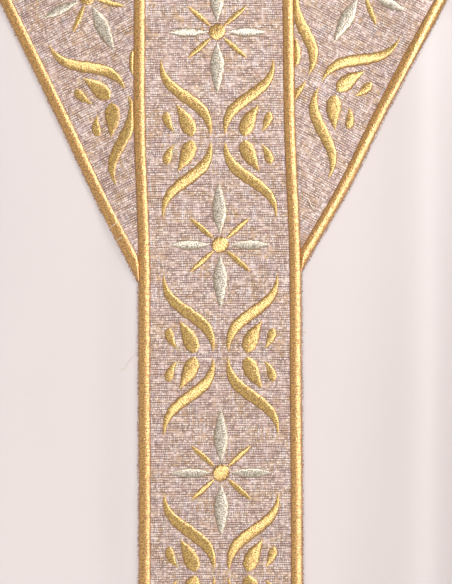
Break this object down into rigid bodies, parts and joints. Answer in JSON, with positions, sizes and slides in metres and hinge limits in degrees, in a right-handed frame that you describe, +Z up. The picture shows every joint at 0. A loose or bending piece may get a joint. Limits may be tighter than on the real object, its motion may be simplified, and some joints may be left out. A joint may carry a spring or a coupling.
{
  "type": "chasuble",
  "caption": "Wide sleeveless outer vestment with a rounded neck opening, open sides, hanging folds and a Y-shaped embroidered band down the front.",
  "frame": {"origin": "middle of the neck opening, at the height where the garment rests on the sides of the neck and the shoulders", "axes": "+Z up, the front faces -Y, +X to the viewer's right"},
  "size_m": [1.009, 0.4066, 1.262],
  "materials": {
    "ivory_cloth": "smooth satin-faced ivory cloth, soft sheen",
    "lame_band": "taupe slub weave with gold thread",
    "gold_thread": "glossy gold satin stitch",
    "silver_thread": "glossy pale silver-gold satin stitch"
  },
  "bodies": {
    "root": {"front_panel": "ivory_cloth", "back_panel": "ivory_cloth", "neck_binding": "ivory_cloth", "orphrey_column": "lame_band", "orphrey_arm_left": "lame_band", "orphrey_arm_right": "lame_band"}
  },
  "joints": []
}
